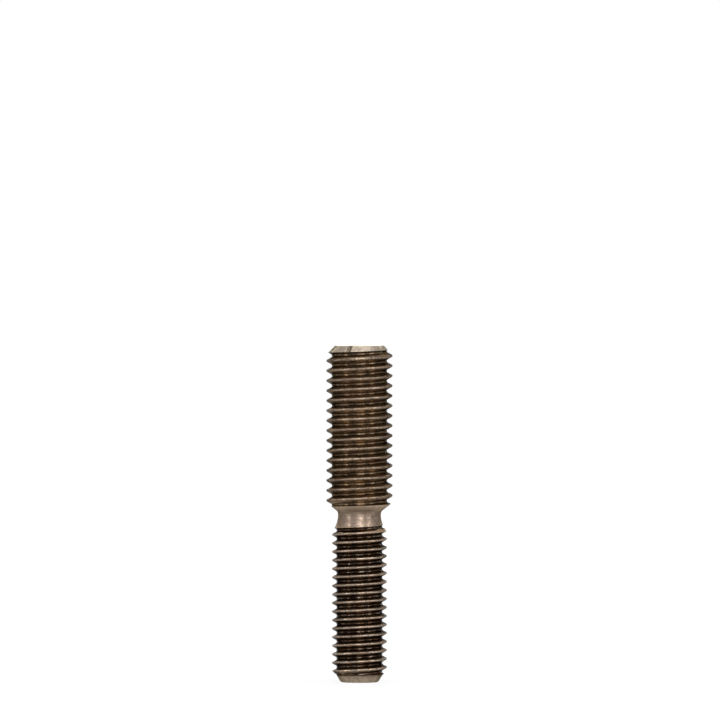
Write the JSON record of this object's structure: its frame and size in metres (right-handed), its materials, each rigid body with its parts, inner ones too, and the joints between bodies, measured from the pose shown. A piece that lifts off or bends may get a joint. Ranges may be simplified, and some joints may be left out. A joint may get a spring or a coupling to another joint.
{
  "type": "thread reducing stud",
  "caption": "Double-ended steel stud with a larger and a smaller right-hand metric thread and a waisted neck between, used to join a tapped hole or nut of one size to another.",
  "frame": {"origin": "middle of the flat end face on the small thread, where the stud stands", "axes": "+Z along the stud's axis, from the small thread up to the large one; +X to the right as the picture shows it, which looks along +Y"},
  "size_m": [0.0118, 0.0118, 0.0591],
  "materials": {
    "stud": "satin stainless steel, as rolled and turned"
  },
  "bodies": {
    "root": {"stud": "stud"}
  },
  "joints": []
}
